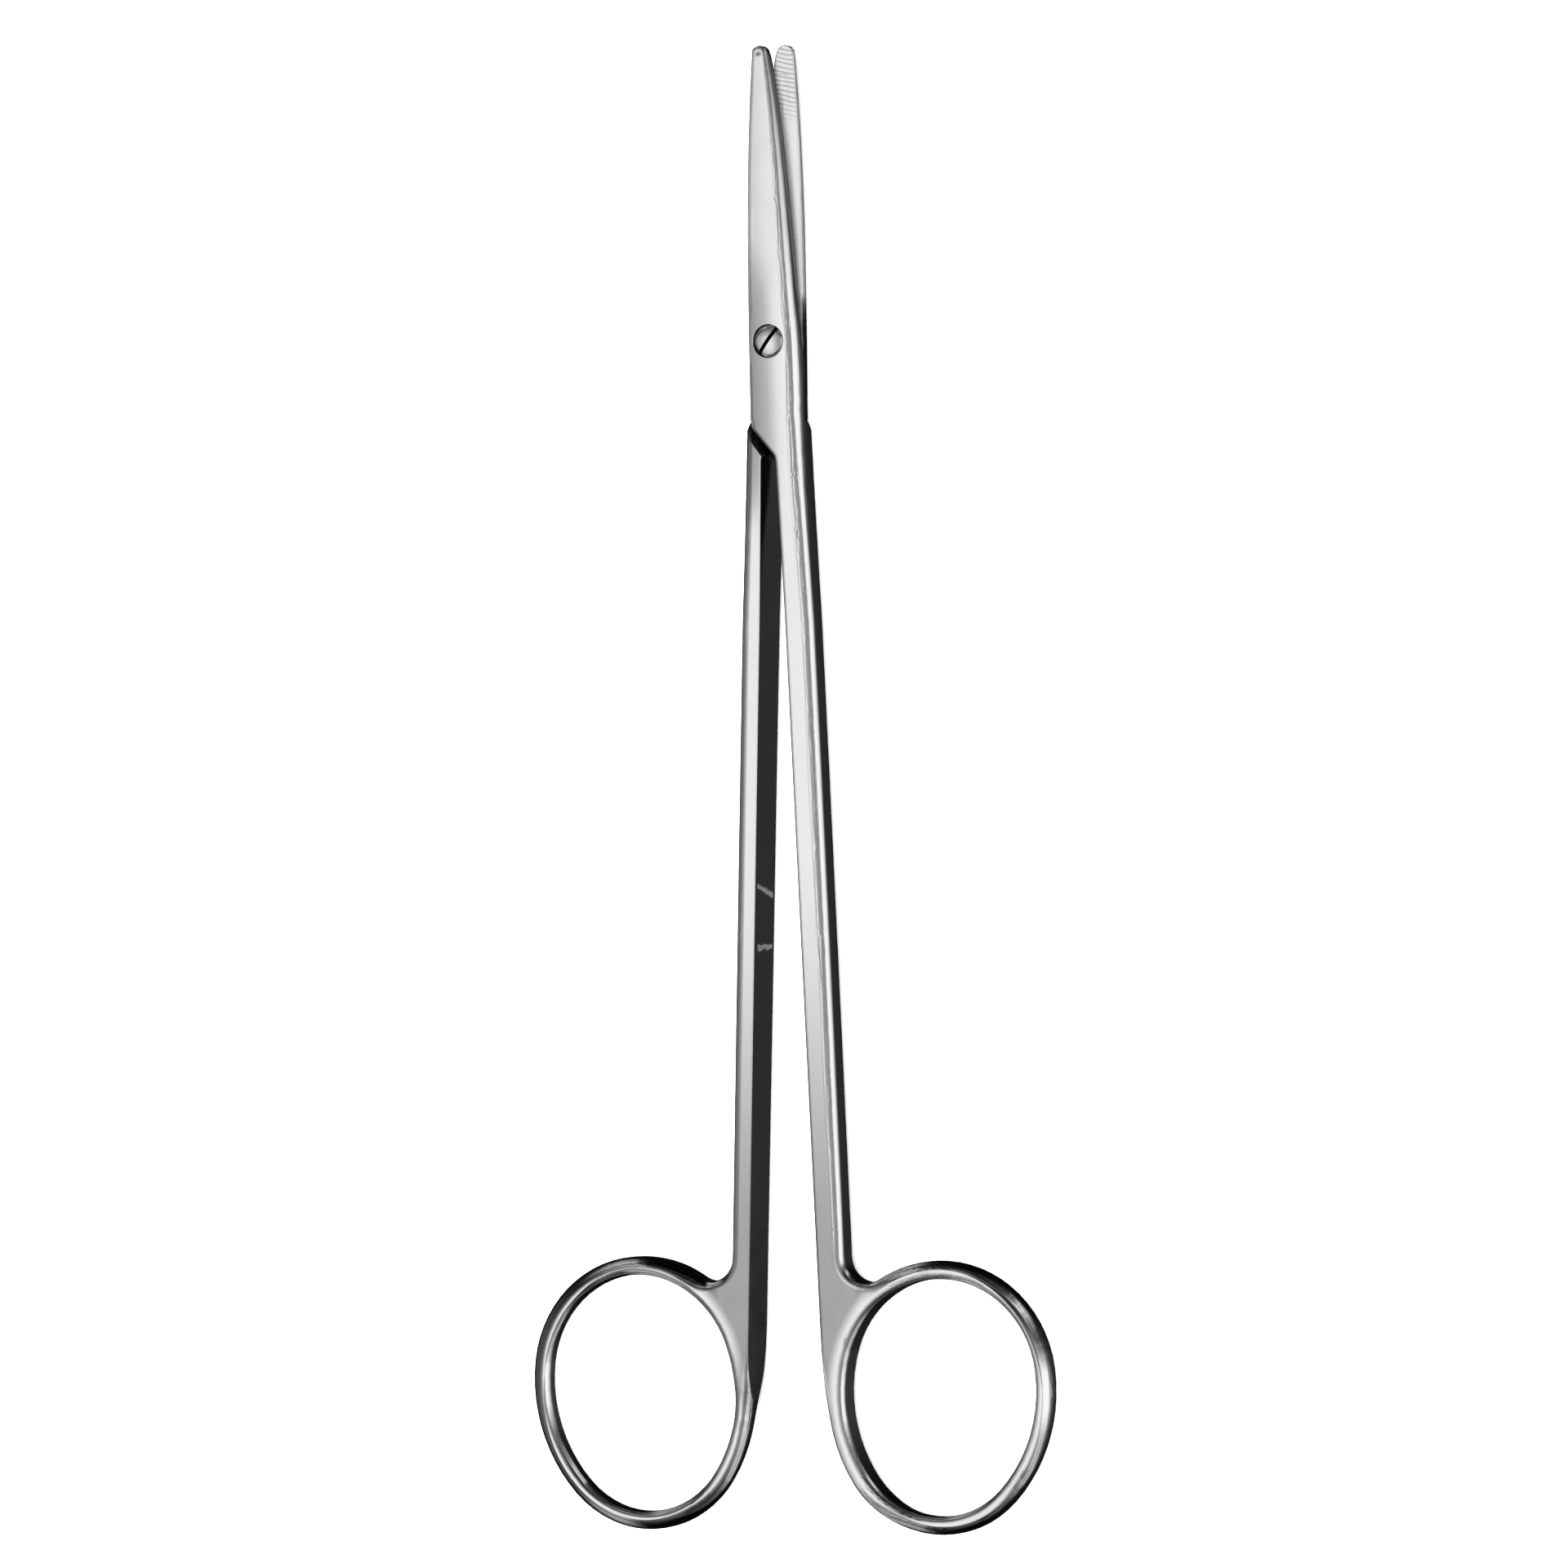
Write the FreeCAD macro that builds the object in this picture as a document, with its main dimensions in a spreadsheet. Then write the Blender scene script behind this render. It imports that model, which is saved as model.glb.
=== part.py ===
"""Straight dissecting scissors with blunt tips: two forged halves on a slotted pivot screw.

Frame: millimetres, the scissors lie flat, +Z up, +Y towards the tips. The pivot axis stands on the
origin, and z = 0 is the outer face of the back half's joint, which the scissors rest on.
Each half is drawn closed, in a frame of its own: its mating face at z = 0, its outer side up, its
shank to the right. The back half is the same forging turned over about the long axis.
"""
import FreeCAD, Part
import math
import os

import Sketcher

Vector = FreeCAD.Vector
Rotation = FreeCAD.Rotation
Placement = FreeCAD.Placement
QUARTER = math.pi / 2

# Driving sizes, in millimetres and degrees: alias, value, what it is
SIZES = [
    ("joint_thick", 2.90, "thickness of one half at the joint"),
    ("face_play", 0.03, "running gap between the mating faces, and under the screw head"),
    ("rest_opening", 3.30, "angle between the halves as they lie"),
    ("heel_end", 9.00, "pivot to the section where the joint ends"),
    ("neck_end", 34.00, "pivot to the section where the neck ends"),
    ("tip_reach", 35.80, "pivot to the end of the blade"),
    ("tip_overrun", 1.00, "end of the blade to its last section, which the rounded tip trims"),
    ("nose_radius", 1.05, "radius of the blunt tip in plan"),
    ("nose_shift", 0.45, "long axis to the tip centre, towards the blade's back"),
    ("nose_round", 0.52, "rounding over the top of the tip"),
    ("nose_thick", 1.38, "blade thickness at the tip centre"),
    ("hollow_depth", 0.08, "depth of the hollow ground in the blade's inner face"),
    ("hollow_start", 7.00, "pivot to the root end of the hollow"),
    ("hollow_stop", 3.55, "tip end of the hollow to the end of the blade"),
    ("hollow_root_width", 4.90, "width of the hollow at its root"),
    ("hollow_tip_width", 1.80, "width of the hollow near the tip"),
    ("hollow_root_shift", 0.10, "long axis to the middle of the hollow's root"),
    ("hollow_tip_shift", 0.36, "long axis to the middle of the hollow's tip end"),
    ("inner_neck", 0.60, "long axis to the inner wall at the neck"),
    ("inner_ring", 1.42, "long axis to the inner wall beside the ring"),
    ("wall_lean", 0.10, "sideways lean of the inner wall for each millimetre of height"),
    ("diagonal_width", 2.70, "long axis to the outer end of the heel's diagonal"),
    ("diagonal_start", 9.86, "pivot to the outer end of the heel's diagonal"),
    ("diagonal_end", 14.00, "pivot to the inner end of the heel's diagonal"),
    ("diagonal_round", 1.50, "radius between the diagonal and the inner wall"),
    ("shoulder_gap", 0.15, "gap between the shoulder and the heel it faces when closed"),
    ("shoulder_lean", 0.49, "lengthways lean of the shoulder for each millimetre of depth"),
    ("ring_reach", 127.63, "pivot to the middle of the finger hole"),
    ("ring_lean", 6.94, "lean of the finger hole, inwards at its far end"),
    ("side_centre", 5.19, "middle of the hole to the centre of the arc along its other side"),
    ("side_rise", 0.83, "middle of the hole to the centres of its side arcs, towards the pivot"),
    ("top_centre", 1.97, "middle of the hole to the centre of its upper arc"),
    ("low_centre", 3.28, "middle of the hole to the centre of its lower arc"),
    ("ring_bar", 2.22, "width of the ring's bar"),
    ("ring_flat", 0.12, "width that stays flat between the roundings of the bar"),
    ("ring_half", 1.38, "half the thickness of the ring's bar"),
    ("outer_round", 1.18, "rounding of the ring's outer edges"),
    ("web_length", 19.63, "middle of the finger hole to the section where the shank ends"),
    ("thin_start", 11.00, "shank's end to where the ring starts to thin, that way"),
    ("thin_run", 8.00, "length over which the ring thins, that way"),
    ("crotch_radius", 3.05, "radius between the shank and the ring"),
    ("head_diameter", 3.80, "diameter of the screw head"),
    ("head_thick", 1.45, "thickness of the screw head at its rim"),
    ("head_dome", 0.28, "height of the head's dome above its rim"),
    ("head_sink", 0.06, "depth of the head's rim below the joint's outer face"),
    ("head_gap", 0.12, "gap round the screw head in its recess"),
    ("slot_width", 0.46, "width of the driver slot"),
    ("slot_depth", 0.75, "depth of the driver slot below the top of the dome"),
    ("slot_turn", 52.50, "turn of the driver slot from the x axis"),
    ("pin_diameter", 2.60, "diameter that the front half turns on"),
    ("pin_gap", 0.03, "running gap round the pin"),
    ("thread_diameter", 2.20, "diameter of the threaded end"),
    ("thread_gap", 0.02, "gap round the threaded end"),
    ("end_sink", 0.05, "depth of the screw's end below the back half's outer face"),
]

# Sections of the forging, square to the long axis. Right and left are the widths each side of the
# axis, half is half the thickness, the corners are its roundings and the bulges round its sides.
SECTION_SIZES = ("right", "left", "half", "right_corner", "left_corner", "right_bulge", "left_bulge")
SECTIONS = [
    ("tip", (0.33, 1.36, 1.28, 0.50, 0.35, 3.0, 3.0)),
    ("fore", (1.82, 2.32, 1.98, 0.68, 0.42, 4.5, 4.0)),
    ("mid", (2.64, 2.90, 2.62, 0.80, 0.50, 6.0, 5.0)),
    ("root", (3.20, 3.27, 2.93, 0.90, 0.50, 7.5, 5.2)),
    ("heel", (3.24, 3.56, 2.93, 1.00, 0.50, 8.0, 5.2)),
    ("neck", (3.43, 2.40, 2.58, 1.25, 0.80, 14.0, 9.0)),
    ("upper", (3.75, 1.60, 2.36, 1.35, 1.10, 30.0, 30.0)),
    ("middle", (4.00, 1.50, 2.30, 1.32, 1.15, 60.0, 60.0)),
]
END_SIZES = [
    ("end_right", 4.18, "right of the end section"),
    ("end_left", 1.50, "left of the end section"),
    ("end_half", 2.20, "half of the end section"),
]
# The rings were ground by hand, so they differ a little from one half to the other
RING_SIZES = [
    ("front_half_ring_side", 1.35, "long axis to the side of the front half's ring"),
    ("back_half_ring_side", 1.60, "long axis to the side of the back half's ring"),
    ("front_half_hole_across", 12.38, "half width of the front half's finger hole, an egg of four arcs"),
    ("back_half_hole_across", 12.54, "half width of the back half's finger hole"),
    ("front_half_thin_turn", 10.00, "turn of the way in which the front half's ring thins, from across"),
    ("back_half_thin_turn", 45.00, "turn of the way in which the back half's ring thins"),
]
BLADE_SECTIONS = ("root", "mid", "fore", "tip")

# Sizes that follow from the driving ones
BLADE_END = "(sizes.tip_reach + sizes.tip_overrun)"
SHANK_END = "(sizes.ring_reach - sizes.web_length)"
OUTER_ROUND = "min(sizes.outer_round; 0.97 * sizes.ring_half)"
HOLE_ROUND = f"sizes.ring_bar - {OUTER_ROUND} - sizes.ring_flat"
LEAN = "sizes.ring_lean * 1 deg"
SIDE_SHIFT = f"(sizes.side_centre * cos({LEAN}) + sizes.side_rise * sin({LEAN}))"
NEAR = 0.01  # places closer than this are the same


def make_sheet(doc):
    """Put every driving size in the spreadsheet, under its alias."""
    sheet = doc.addObject("Spreadsheet::Sheet", "sizes")
    rows = SIZES + END_SIZES + RING_SIZES
    for station, numbers in SECTIONS:
        for what, number in zip(SECTION_SIZES, numbers):
            rows = rows + [(f"{station}_{what}", number, f"{what} of the {station} section")]
    for row, (alias, value, note) in enumerate(rows, start=1):
        sheet.set(f"A{row}", note)
        sheet.set(f"B{row}", str(value))
        sheet.setAlias(f"B{row}", alias)
    doc.recompute()
    return sheet


def worth(feature, formula):
    """The number that a formula of the sheet's cells comes to."""
    result = feature.evalExpression(formula)
    return float(getattr(result, "Value", result))


def origin_plane(body, role):
    for feature in body.Origin.OriginFeatures:
        if feature.Role == role:
            return feature
    raise LookupError(role)


def new_sketch(body, label, role, shift=()):
    """An empty sketch on one of the body's own origin planes, moved by formulas along its axes."""
    sketch = body.newObject("Sketcher::SketchObject", f"{body.Label}_{label}")
    sketch.AttachmentSupport = (origin_plane(body, role), [""])
    sketch.MapMode = "FlatFace"
    for axis, formula in shift:
        sketch.setExpression(f"AttachmentOffset.Base.{axis}", formula)
    return sketch


def bind(sketch, kind, where, formula):
    """Add a dimension to the sketch and tie it to a formula of the sheet's cells."""
    index = sketch.addConstraint(Sketcher.Constraint(kind, *where, worth(sketch, formula)))
    sketch.setExpression(f"Constraints[{index}]", formula)


def pin(sketch, geometry, point, x_formula, y_formula):
    """Hold one point of the sketch at a place given by two formulas."""
    bind(sketch, "DistanceX", (-1, 1, geometry, point), x_formula)
    bind(sketch, "DistanceY", (-1, 1, geometry, point), y_formula)


def polygon(sketch, corners):
    """A closed outline of straight lines between corners given by formulas."""
    places = [Vector(worth(sketch, x), worth(sketch, y)) for x, y in corners]
    first = sketch.GeometryCount
    count = len(corners)
    for here, there in zip(places, places[1:] + places[:1]):
        sketch.addGeometry(Part.LineSegment(here, there))
    for index, (x, y) in enumerate(corners):
        before = first + (index - 1) % count
        sketch.addConstraint(Sketcher.Constraint("Coincident", before, 2, first + index, 1))
        pin(sketch, first + index, 1, x, y)


def circle(sketch, diameter_formula):
    """A circle round the pivot axis."""
    radius = worth(sketch, diameter_formula) / 2
    index = sketch.addGeometry(Part.Circle(Vector(0, 0), Vector(0, 0, 1), radius))
    sketch.addConstraint(Sketcher.Constraint("Coincident", index, 3, -1, 1))
    bind(sketch, "Diameter", (index,), diameter_formula)


def arc(centre, radius, start, end):
    """A counter-clockwise arc between two angles in radians."""
    return Part.ArcOfCircle(Part.Circle(centre, Vector(0, 0, 1), radius), start, end)


def join_round(sketch, joins):
    """Join ends of lines and arcs so that they touch and run on without a corner."""
    for join in joins:
        sketch.addConstraint(Sketcher.Constraint("Tangent", *join))


def side_arcs(side, reach, half, corner, bulge):
    """Centres of one side's corner and bulge, and the angle at which they meet. side is 1 or -1."""
    bulge_centre = side * (reach - bulge)
    step = math.sqrt((bulge - corner) ** 2 - (half - corner) ** 2)
    return bulge_centre + side * step, bulge_centre, math.atan2(half - corner, step)


def section_sketch(body, station, distance):
    """One section of the forging at a distance along y: flat faces, round corners, bulging sides."""
    sketch = new_sketch(body, f"{station}_section", "XZ_Plane", [("z", f"-({distance})")])
    cell = {what: f"sizes.{station}_{what}" for what in SECTION_SIZES}
    size = {what: worth(sketch, formula) for what, formula in cell.items()}
    half = size["half"]
    places = {}
    for side, sign in (("right", 1), ("left", -1)):
        corner, bulge = size[f"{side}_corner"], size[f"{side}_bulge"]
        places[side] = (*side_arcs(sign, size[side], half, corner, bulge), corner, bulge)
    right_x, right_bulge_x, right_turn, right_corner, right_bulge = places["right"]
    left_x, left_bulge_x, left_turn, left_corner, left_bulge = places["left"]
    right_rise, left_rise = half - right_corner, half - left_corner
    add = sketch.addGeometry
    top = add(Part.LineSegment(Vector(left_x, half), Vector(right_x, half)))
    right_top = add(arc(Vector(right_x, right_rise), right_corner, right_turn, QUARTER))
    right_side = add(arc(Vector(right_bulge_x, 0), right_bulge, -right_turn, right_turn))
    right_low = add(arc(Vector(right_x, -right_rise), right_corner, -QUARTER, -right_turn))
    low = add(Part.LineSegment(Vector(right_x, -half), Vector(left_x, -half)))
    left_low = add(arc(Vector(left_x, -left_rise), left_corner, math.pi + left_turn, 3 * QUARTER))
    left_side = add(arc(Vector(left_bulge_x, 0), left_bulge, math.pi - left_turn, math.pi + left_turn))
    left_top = add(arc(Vector(left_x, left_rise), left_corner, QUARTER, math.pi - left_turn))
    join_round(sketch, [
        (top, 2, right_top, 2), (right_top, 1, right_side, 2), (right_side, 1, right_low, 2),
        (right_low, 1, low, 1), (low, 2, left_low, 2), (left_low, 1, left_side, 2),
        (left_side, 1, left_top, 2), (left_top, 1, top, 1),
    ])
    hold_faces(sketch, top, low, cell["half"])
    for side, roundings in (("right", (right_top, right_low)), ("left", (left_top, left_low))):
        for rounding in roundings:
            bind(sketch, "Radius", (rounding,), cell[f"{side}_corner"])
    for side, sign, middle in (("right", 1, right_side), ("left", -1, left_side)):
        bind(sketch, "Radius", (middle,), cell[f"{side}_bulge"])
        bind(sketch, "DistanceX", (-1, 1, middle, 3), f"{sign} * ({cell[side]} - {cell[side + '_bulge']})")
        sketch.addConstraint(Sketcher.Constraint("PointOnObject", middle, 3, -1))
    return sketch


def end_section_sketch(body):
    """The section where the shank meets the ring's plate: straight sides, corners as the plate's."""
    sketch = new_sketch(body, "end_section", "XZ_Plane", [("z", SHANK_END)])
    half, corner = worth(sketch, "sizes.end_half"), worth(sketch, OUTER_ROUND)
    right, left = worth(sketch, "sizes.end_right"), -worth(sketch, "sizes.end_left")
    right_x, left_x, rise = right - corner, left + corner, half - corner
    add = sketch.addGeometry
    top = add(Part.LineSegment(Vector(left_x, half), Vector(right_x, half)))
    right_top = add(arc(Vector(right_x, rise), corner, 0, QUARTER))
    right_side = add(Part.LineSegment(Vector(right, rise), Vector(right, -rise)))
    right_low = add(arc(Vector(right_x, -rise), corner, -QUARTER, 0))
    low = add(Part.LineSegment(Vector(right_x, -half), Vector(left_x, -half)))
    left_low = add(arc(Vector(left_x, -rise), corner, math.pi, 3 * QUARTER))
    left_side = add(Part.LineSegment(Vector(left, -rise), Vector(left, rise)))
    left_top = add(arc(Vector(left_x, rise), corner, QUARTER, math.pi))
    join_round(sketch, [
        (top, 2, right_top, 2), (right_top, 1, right_side, 1), (right_side, 2, right_low, 2),
        (right_low, 1, low, 1), (low, 2, left_low, 2), (left_low, 1, left_side, 1),
        (left_side, 2, left_top, 2), (left_top, 1, top, 1),
    ])
    hold_faces(sketch, top, low, "sizes.end_half")
    for rounding in (right_top, right_low, left_low, left_top):
        bind(sketch, "Radius", (rounding,), OUTER_ROUND)
    for side, formula in ((right_side, "sizes.end_right"), (left_side, "-sizes.end_left")):
        sketch.addConstraint(Sketcher.Constraint("Vertical", side))
        bind(sketch, "DistanceX", (-1, 1, side, 1), formula)
    return sketch


def hold_faces(sketch, top, low, half_formula):
    """Hold a section's two flat faces level, at half its thickness each side of the middle."""
    for face, sign in ((top, 1), (low, -1)):
        sketch.addConstraint(Sketcher.Constraint("Horizontal", face))
        bind(sketch, "DistanceY", (-1, 1, face, 1), f"{sign} * {half_formula}")


def pad(body, sketch, thick_formula):
    """A plate of the sketch's outline, as thick on one side of its plane as on the other."""
    feature = body.newObject("PartDesign::Pad", sketch.Label + "_pad")
    feature.Profile = sketch
    feature.SideType = "Symmetric"
    feature.setExpression("Length", thick_formula)
    return feature


def cut(body, sketch, depth_formula, direction=None, both_ways=False):
    """A cut of the sketch's outline to a depth, down its plane's normal or along a direction."""
    feature = body.newObject("PartDesign::Pocket", sketch.Label + "_cut")
    feature.Profile = sketch
    if both_ways:
        feature.SideType = "Symmetric"
    if direction:
        feature.UseCustomVector = True
        for axis, formula in zip("xyz", direction):
            feature.setExpression(f"Direction.{axis}", formula)
    feature.setExpression("Length", depth_formula)
    return feature


def fillet(body, label, radius_formula, choose):
    """Round the edges of the body so far that choose picks."""
    body.Document.recompute()
    before = body.Tip
    picked = [f"Edge{n}" for n, edge in enumerate(before.Shape.Edges, start=1) if choose(edge)]
    feature = body.newObject("PartDesign::Fillet", f"{body.Label}_{label}")
    feature.Base = (before, picked)
    feature.setExpression("Radius", radius_formula)
    return feature


def middle_of(edge):
    return edge.valueAt((edge.FirstParameter + edge.LastParameter) / 2)


def is_straight(edge):
    return edge.Curve.TypeId == "Part::GeomLine"


def side_radius(half):
    """Radius of the arcs along the sides of a half's finger hole."""
    return f"(sizes.{half}_hole_across + sizes.side_centre)"


def ring_place(half, across, along):
    """A place in a ring's own directions, from the middle of its finger hole: across it and along it."""
    middle_x = f"(sizes.{half}_ring_side + sizes.ring_bar + {side_radius(half)} - {SIDE_SHIFT})"
    return (
        f"{middle_x} + ({across}) * cos({LEAN}) + ({along}) * sin({LEAN})",
        f"-sizes.ring_reach - ({across}) * sin({LEAN}) + ({along}) * cos({LEAN})",
    )


def egg_centres(half):
    """Centres of the four arcs round a half's finger hole."""
    return {
        "right": ring_place(half, "-sizes.side_centre", "sizes.side_rise"),
        "upper": ring_place(half, "0", "sizes.top_centre"),
        "left": ring_place(half, "sizes.side_centre", "sizes.side_rise"),
        "lower": ring_place(half, "0", "-sizes.low_centre"),
    }


def egg(sketch, half, more):
    """Centre, radius, start and end of the four arcs round the finger hole, or further out by more."""
    lean = math.radians(worth(sketch, LEAN))
    spread = worth(sketch, "sizes.side_centre")
    upwards = worth(sketch, "sizes.top_centre - sizes.side_rise")
    downwards = worth(sketch, "sizes.low_centre + sizes.side_rise")
    side = worth(sketch, f"{side_radius(half)} + {more}")
    upper_turn, lower_turn = math.atan2(upwards, spread), -math.atan2(downwards, spread)
    shapes = {
        "right": (side, lower_turn, upper_turn),
        "upper": (side - math.hypot(upwards, spread), upper_turn, math.pi - upper_turn),
        "left": (side, math.pi - upper_turn, math.pi - lower_turn),
        "lower": (side - math.hypot(downwards, spread), math.pi - lower_turn, 2 * math.pi + lower_turn),
    }
    arcs = {}
    centres = egg_centres(half)
    for name, (radius, start, end) in shapes.items():
        centre = Vector(*[worth(sketch, formula) for formula in centres[name]])
        arcs[name] = (centre, radius, start - lean, end - lean)
    return arcs


def hold_egg(sketch, half, arcs, more):
    """Pin the centres of the egg's arcs and give the right one its radius."""
    centres = egg_centres(half)
    for name, index in arcs.items():
        pin(sketch, index, 3, *centres[name])
    bind(sketch, "Radius", (arcs["right"],), f"{side_radius(half)} + {more}")


def hole_outline(sketch, half):
    arcs = {name: sketch.addGeometry(arc(*shape)) for name, shape in egg(sketch, half, "0").items()}
    right, upper, left, lower = arcs.values()
    join_round(sketch, [
        (right, 2, upper, 1), (upper, 2, left, 1), (left, 2, lower, 1), (lower, 2, right, 1),
    ])
    sketch.addConstraint(Sketcher.Constraint("Equal", left, right))
    hold_egg(sketch, half, {"right": right, "upper": upper, "lower": lower}, "0")


def plate_outline(sketch, half):
    """The shank's end and the ring, in one line: down the inner side, round the egg, into the crotch."""
    more = "sizes.ring_bar"
    shapes = egg(sketch, half, more)
    shank_end = worth(sketch, SHANK_END)
    top_left = Vector(-worth(sketch, "sizes.end_left"), -shank_end)
    top_right = Vector(worth(sketch, "sizes.end_right"), -shank_end)
    left_centre, left_radius, _, left_end = shapes["left"]
    away = top_left - left_centre
    left_start = math.atan2(away.y, away.x) + math.acos(left_radius / away.Length)
    touch = left_centre + Vector(math.cos(left_start), math.sin(left_start)) * left_radius
    upper_centre, upper_radius, upper_start, _ = shapes["upper"]
    crotch = worth(sketch, "sizes.crotch_radius")
    across = upper_centre.x - top_right.x - crotch
    rise = math.sqrt((upper_radius + crotch) ** 2 - across ** 2)
    crotch_centre = upper_centre + Vector(-across, rise)
    upper_end = math.atan2(rise, -across)
    add = sketch.addGeometry
    top = add(Part.LineSegment(top_right, top_left))
    inner = add(Part.LineSegment(top_left, touch))
    left = add(arc(left_centre, left_radius, left_start % (2 * math.pi), left_end))
    lower = add(arc(*shapes["lower"]))
    right = add(arc(*shapes["right"]))
    upper = add(arc(upper_centre, upper_radius, upper_start, upper_end))
    corner = add(arc(crotch_centre, crotch, math.pi, upper_end + math.pi))
    outer = add(Part.LineSegment(crotch_centre - Vector(crotch, 0), top_right))
    join_round(sketch, [
        (inner, 2, left, 1), (left, 2, lower, 1), (lower, 2, right, 1), (right, 2, upper, 1),
        (upper, 2, corner, 2), (corner, 1, outer, 1),
    ])
    for before, after in ((outer, top), (top, inner)):
        sketch.addConstraint(Sketcher.Constraint("Coincident", before, 2, after, 1))
    sketch.addConstraint(Sketcher.Constraint("Vertical", outer))
    hold_egg(sketch, half, {"right": right, "upper": upper, "left": left, "lower": lower}, more)
    bind(sketch, "Radius", (corner,), "sizes.crotch_radius")
    pin(sketch, top, 1, "sizes.end_right", f"-{SHANK_END}")
    pin(sketch, top, 2, "-sizes.end_left", f"-{SHANK_END}")


def thinning_outline(sketch, sign):
    """What the ring loses on one face: nothing at the shank, then a smooth step down to the bar."""
    start_x, end_x, far = "sizes.thin_start", "sizes.thin_start + sizes.thin_run", "sizes.ring_reach"
    drop = "(sizes.end_half - sizes.ring_half)"
    radius_formula = f"(sizes.thin_run ^ 2 + {drop} ^ 2) / (4 * {drop})"
    crest_z = f"{sign} * (sizes.end_half - {radius_formula})"
    foot_z = f"{sign} * (sizes.ring_half + {radius_formula})"
    face_z, clear_z = f"{sign} * sizes.ring_half", f"{sign} * 2 * sizes.end_half"
    radius = worth(sketch, radius_formula)
    turn = math.asin(worth(sketch, "sizes.thin_run") / 2 / radius)
    crest_place = Vector(worth(sketch, start_x), worth(sketch, crest_z))
    foot_place = Vector(worth(sketch, end_x), worth(sketch, foot_z))
    corners = [(end_x, face_z), (far, face_z), (far, clear_z), (start_x, clear_z)]
    places = [Vector(worth(sketch, x), worth(sketch, y)) for x, y in corners]
    places.append(crest_place + Vector(0, sign * radius))
    if sign > 0:
        crest = sketch.addGeometry(arc(crest_place, radius, QUARTER - turn, QUARTER))
        foot = sketch.addGeometry(arc(foot_place, radius, 3 * QUARTER - turn, 3 * QUARTER))
        crest_mid, crest_out, foot_mid, foot_out = 1, 2, 1, 2
    else:
        crest = sketch.addGeometry(arc(crest_place, radius, 3 * QUARTER, 3 * QUARTER + turn))
        foot = sketch.addGeometry(arc(foot_place, radius, QUARTER, QUARTER + turn))
        crest_mid, crest_out, foot_mid, foot_out = 2, 1, 2, 1
    face, end, clear, start = [
        sketch.addGeometry(Part.LineSegment(a, b)) for a, b in zip(places, places[1:])
    ]
    join_round(sketch, [(crest, crest_mid, foot, foot_mid), (foot, foot_out, face, 1)])
    for before, before_end, after, after_end in (
        (face, 2, end, 1), (end, 2, clear, 1), (clear, 2, start, 1), (start, 2, crest, crest_out)
    ):
        sketch.addConstraint(Sketcher.Constraint("Coincident", before, before_end, after, after_end))
    for way, line in (("Horizontal", face), ("Vertical", end), ("Horizontal", clear), ("Vertical", start)):
        sketch.addConstraint(Sketcher.Constraint(way, line))
    pin(sketch, crest, 3, start_x, crest_z)
    pin(sketch, foot, 3, end_x, foot_z)
    bind(sketch, "Radius", (crest,), radius_formula)
    pin(sketch, end, 2, far, clear_z)
    bind(sketch, "DistanceX", (-1, 1, start, 1), start_x)


def make_ring(body):
    """The finger ring, its web and the end of the shank, as one plate that thins, with rounded edges."""
    plate = new_sketch(body, "plate", "XY_Plane")
    plate_outline(plate, body.Label)
    pad(body, plate, "2 * sizes.end_half")
    thin = new_sketch(body, "thinning", "XZ_Plane", [("z", SHANK_END)])
    turn = f"sizes.{body.Label}_thin_turn"
    thin.AttachmentOffset = Placement(Vector(), Rotation(Vector(0, 1, 0), -worth(thin, turn)))
    thin.setExpression("AttachmentOffset.Rotation.Angle", f"-{turn} * 1 deg")
    for sign in (1, -1):
        thinning_outline(thin, sign)
    cut(body, thin, "4 * sizes.ring_reach", both_ways=True)
    hole = new_sketch(body, "finger_hole", "XY_Plane")
    hole_outline(hole, body.Label)
    cut(body, hole, "4 * sizes.end_half", both_ways=True)
    shank_end = -worth(hole, SHANK_END)
    half_bar = worth(hole, "sizes.ring_bar / 2")
    slope = worth(hole, "2 * (sizes.end_half - sizes.ring_half)")
    thin_way = Rotation(Vector(0, 0, 1), -worth(hole, turn)).multVec(Vector(1, 0, 0))

    def on_outline(edge):
        box = edge.BoundBox
        across_face = is_straight(edge) and abs(edge.tangentAt(edge.FirstParameter).dot(thin_way)) < NEAR
        return box.ZLength < slope and not across_face and box.YMin < shank_end - NEAR

    def on_hole(edge):
        spot = middle_of(edge)
        gap = hole.Shape.distToShape(Part.Vertex(spot.x, spot.y, 0))[0]
        return on_outline(edge) and gap < half_bar

    fillet(body, "hole_edges", HOLE_ROUND, on_hole)
    fillet(body, "outer_edges", OUTER_ROUND, lambda edge: on_outline(edge) and not on_hole(edge))


def loft(body, label, sections):
    feature = body.newObject("PartDesign::AdditiveLoft", f"{body.Label}_{label}")
    feature.Profile = sections[0]
    feature.Sections = sections[1:]
    return feature


def make_forging(body):
    """The shank, the neck and the blade, each a loft that starts on the last one's end section."""
    middle_y = f"-({SHANK_END} + sizes.neck_end) / 2"
    neck_y = "-(sizes.neck_end + sizes.heel_end) / 2"
    end = end_section_sketch(body)
    middle = section_sketch(body, "middle", middle_y)
    upper = section_sketch(body, "upper", "-sizes.neck_end")
    neck = section_sketch(body, "neck", neck_y)
    blade = [section_sketch(body, "heel", "-sizes.heel_end")]
    for step, station in enumerate(BLADE_SECTIONS, start=1):
        share = f"{step} / {len(BLADE_SECTIONS)}"
        place = f"({BLADE_END} + sizes.heel_end) * {share} - sizes.heel_end"
        blade.append(section_sketch(body, station, place))
    loft(body, "shank", [end, middle, upper])
    loft(body, "neck", [upper, neck, blade[0]])
    loft(body, "blade", blade)


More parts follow.
